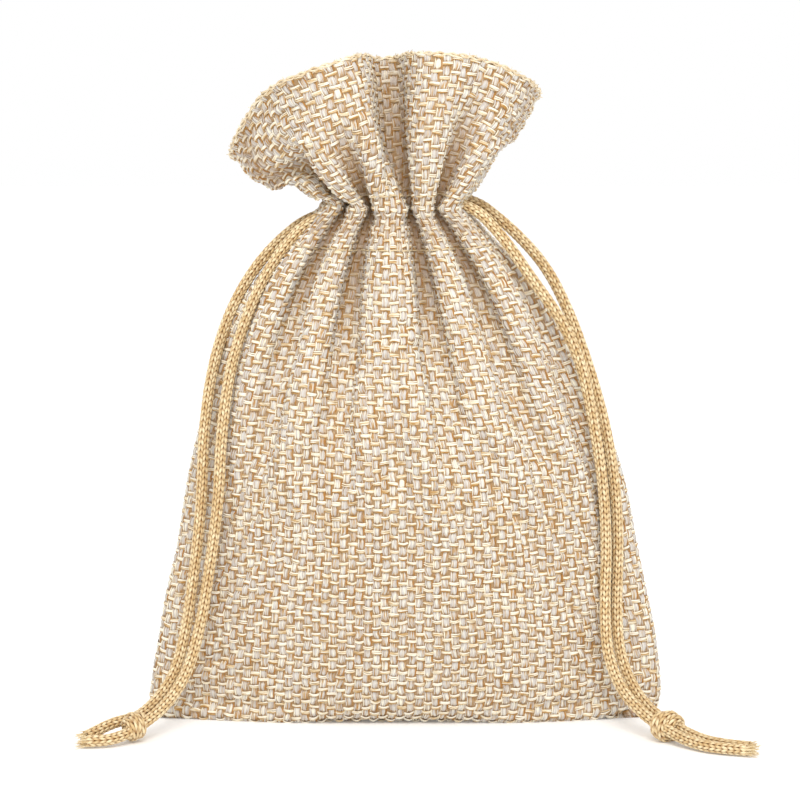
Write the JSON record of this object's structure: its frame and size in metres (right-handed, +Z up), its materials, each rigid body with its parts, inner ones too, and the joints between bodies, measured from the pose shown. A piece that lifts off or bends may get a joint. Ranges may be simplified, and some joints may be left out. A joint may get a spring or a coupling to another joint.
{
  "type": "drawstring gift pouch",
  "caption": "Small imitation-linen pouch that stands filled, gathered to a narrow neck by two knitted drawstrings under a flared frill.",
  "frame": {"origin": "middle of the base, on the surface that the pouch stands on", "axes": "+Z up, -Y towards the front, +X to the pouch's side that is on the right when seen from the front"},
  "size_m": [0.1259, 0.059, 0.131],
  "materials": {
    "cloth": "coarse plain weave, natural linen colour",
    "cord": "knitted cord, light tan with a slight sheen",
    "thread": "sewing thread"
  },
  "bodies": {
    "pouch": {"front_panel": "cloth", "back_panel": "cloth", "left_side_seam": "cloth", "right_side_seam": "cloth", "bottom_seam": "cloth", "bottom_seam_overlock": "thread", "front_casing": "cloth", "back_casing": "cloth", "lower_casing_stitches": "thread", "upper_casing_stitches": "thread", "left_drawstring_channel_loop": "cord", "right_drawstring_channel_loop": "cord"},
    "front_lip": {"front_frill": "cloth"},
    "back_lip": {"back_frill": "cloth"},
    "left_drawstring": {"left_drawstring_front_strand": "cord", "left_drawstring_back_strand": "cord", "left_drawstring_knot": "cord"},
    "right_drawstring": {"right_drawstring_front_strand": "cord", "right_drawstring_back_strand": "cord", "right_drawstring_knot": "cord"}
  },
  "joints": [
    {"name": "front_lip_fold", "type": "hinge", "parent": "pouch", "child": "front_lip", "pos_m": [0, -0.0066, 0.1063], "axis": [1, 0, 0], "range_deg": [0, 30], "stiffness_Nm_per_rad": 0.004},
    {"name": "back_lip_fold", "type": "hinge", "parent": "pouch", "child": "back_lip", "pos_m": [0, 0.0066, 0.1063], "axis": [-1, 0, 0], "range_deg": [0, 30], "stiffness_Nm_per_rad": 0.004},
    {"name": "left_drawstring_pull", "type": "slide", "parent": "pouch", "child": "left_drawstring", "axis": [-1, 0, 0], "range_m": [0, 0.008]},
    {"name": "right_drawstring_pull", "type": "slide", "parent": "pouch", "child": "right_drawstring", "axis": [1, 0, 0], "range_m": [0, 0.008]}
  ]
}
